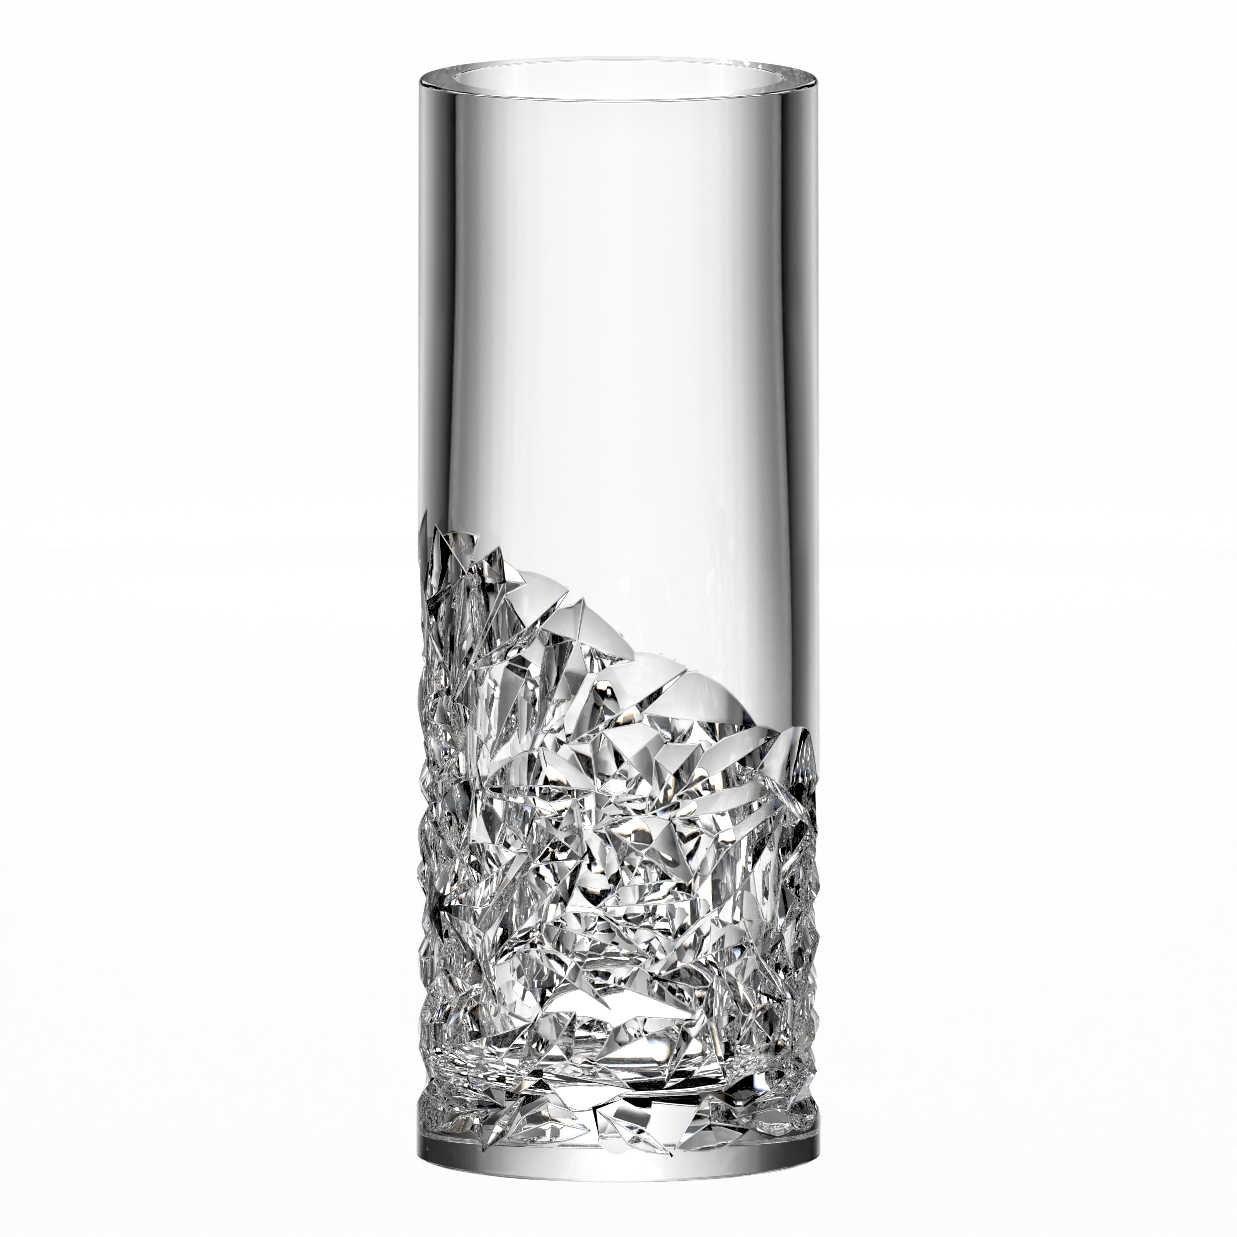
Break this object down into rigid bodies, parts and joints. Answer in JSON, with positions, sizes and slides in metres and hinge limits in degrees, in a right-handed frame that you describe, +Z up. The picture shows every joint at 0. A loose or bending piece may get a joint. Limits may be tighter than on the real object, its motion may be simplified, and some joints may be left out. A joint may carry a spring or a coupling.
{
  "type": "cut crystal vase",
  "caption": "Tall straight-sided clear glass vase with a thick wall and base, cut over its lower part with deep crossing grooves up to a slanted edge.",
  "frame": {"origin": "centre of the flat underside", "axes": "+Z up along the vase's axis, out of its mouth; -Y is the front, where the cut zone's slanted edge falls from -X to +X"},
  "size_m": [0.1314, 0.1314, 0.352],
  "materials": {
    "crystal": "clear colourless crystal, polished smooth on the barrel, with polished cut facets"
  },
  "bodies": {
    "root": {"vase_body": "crystal"}
  },
  "joints": []
}
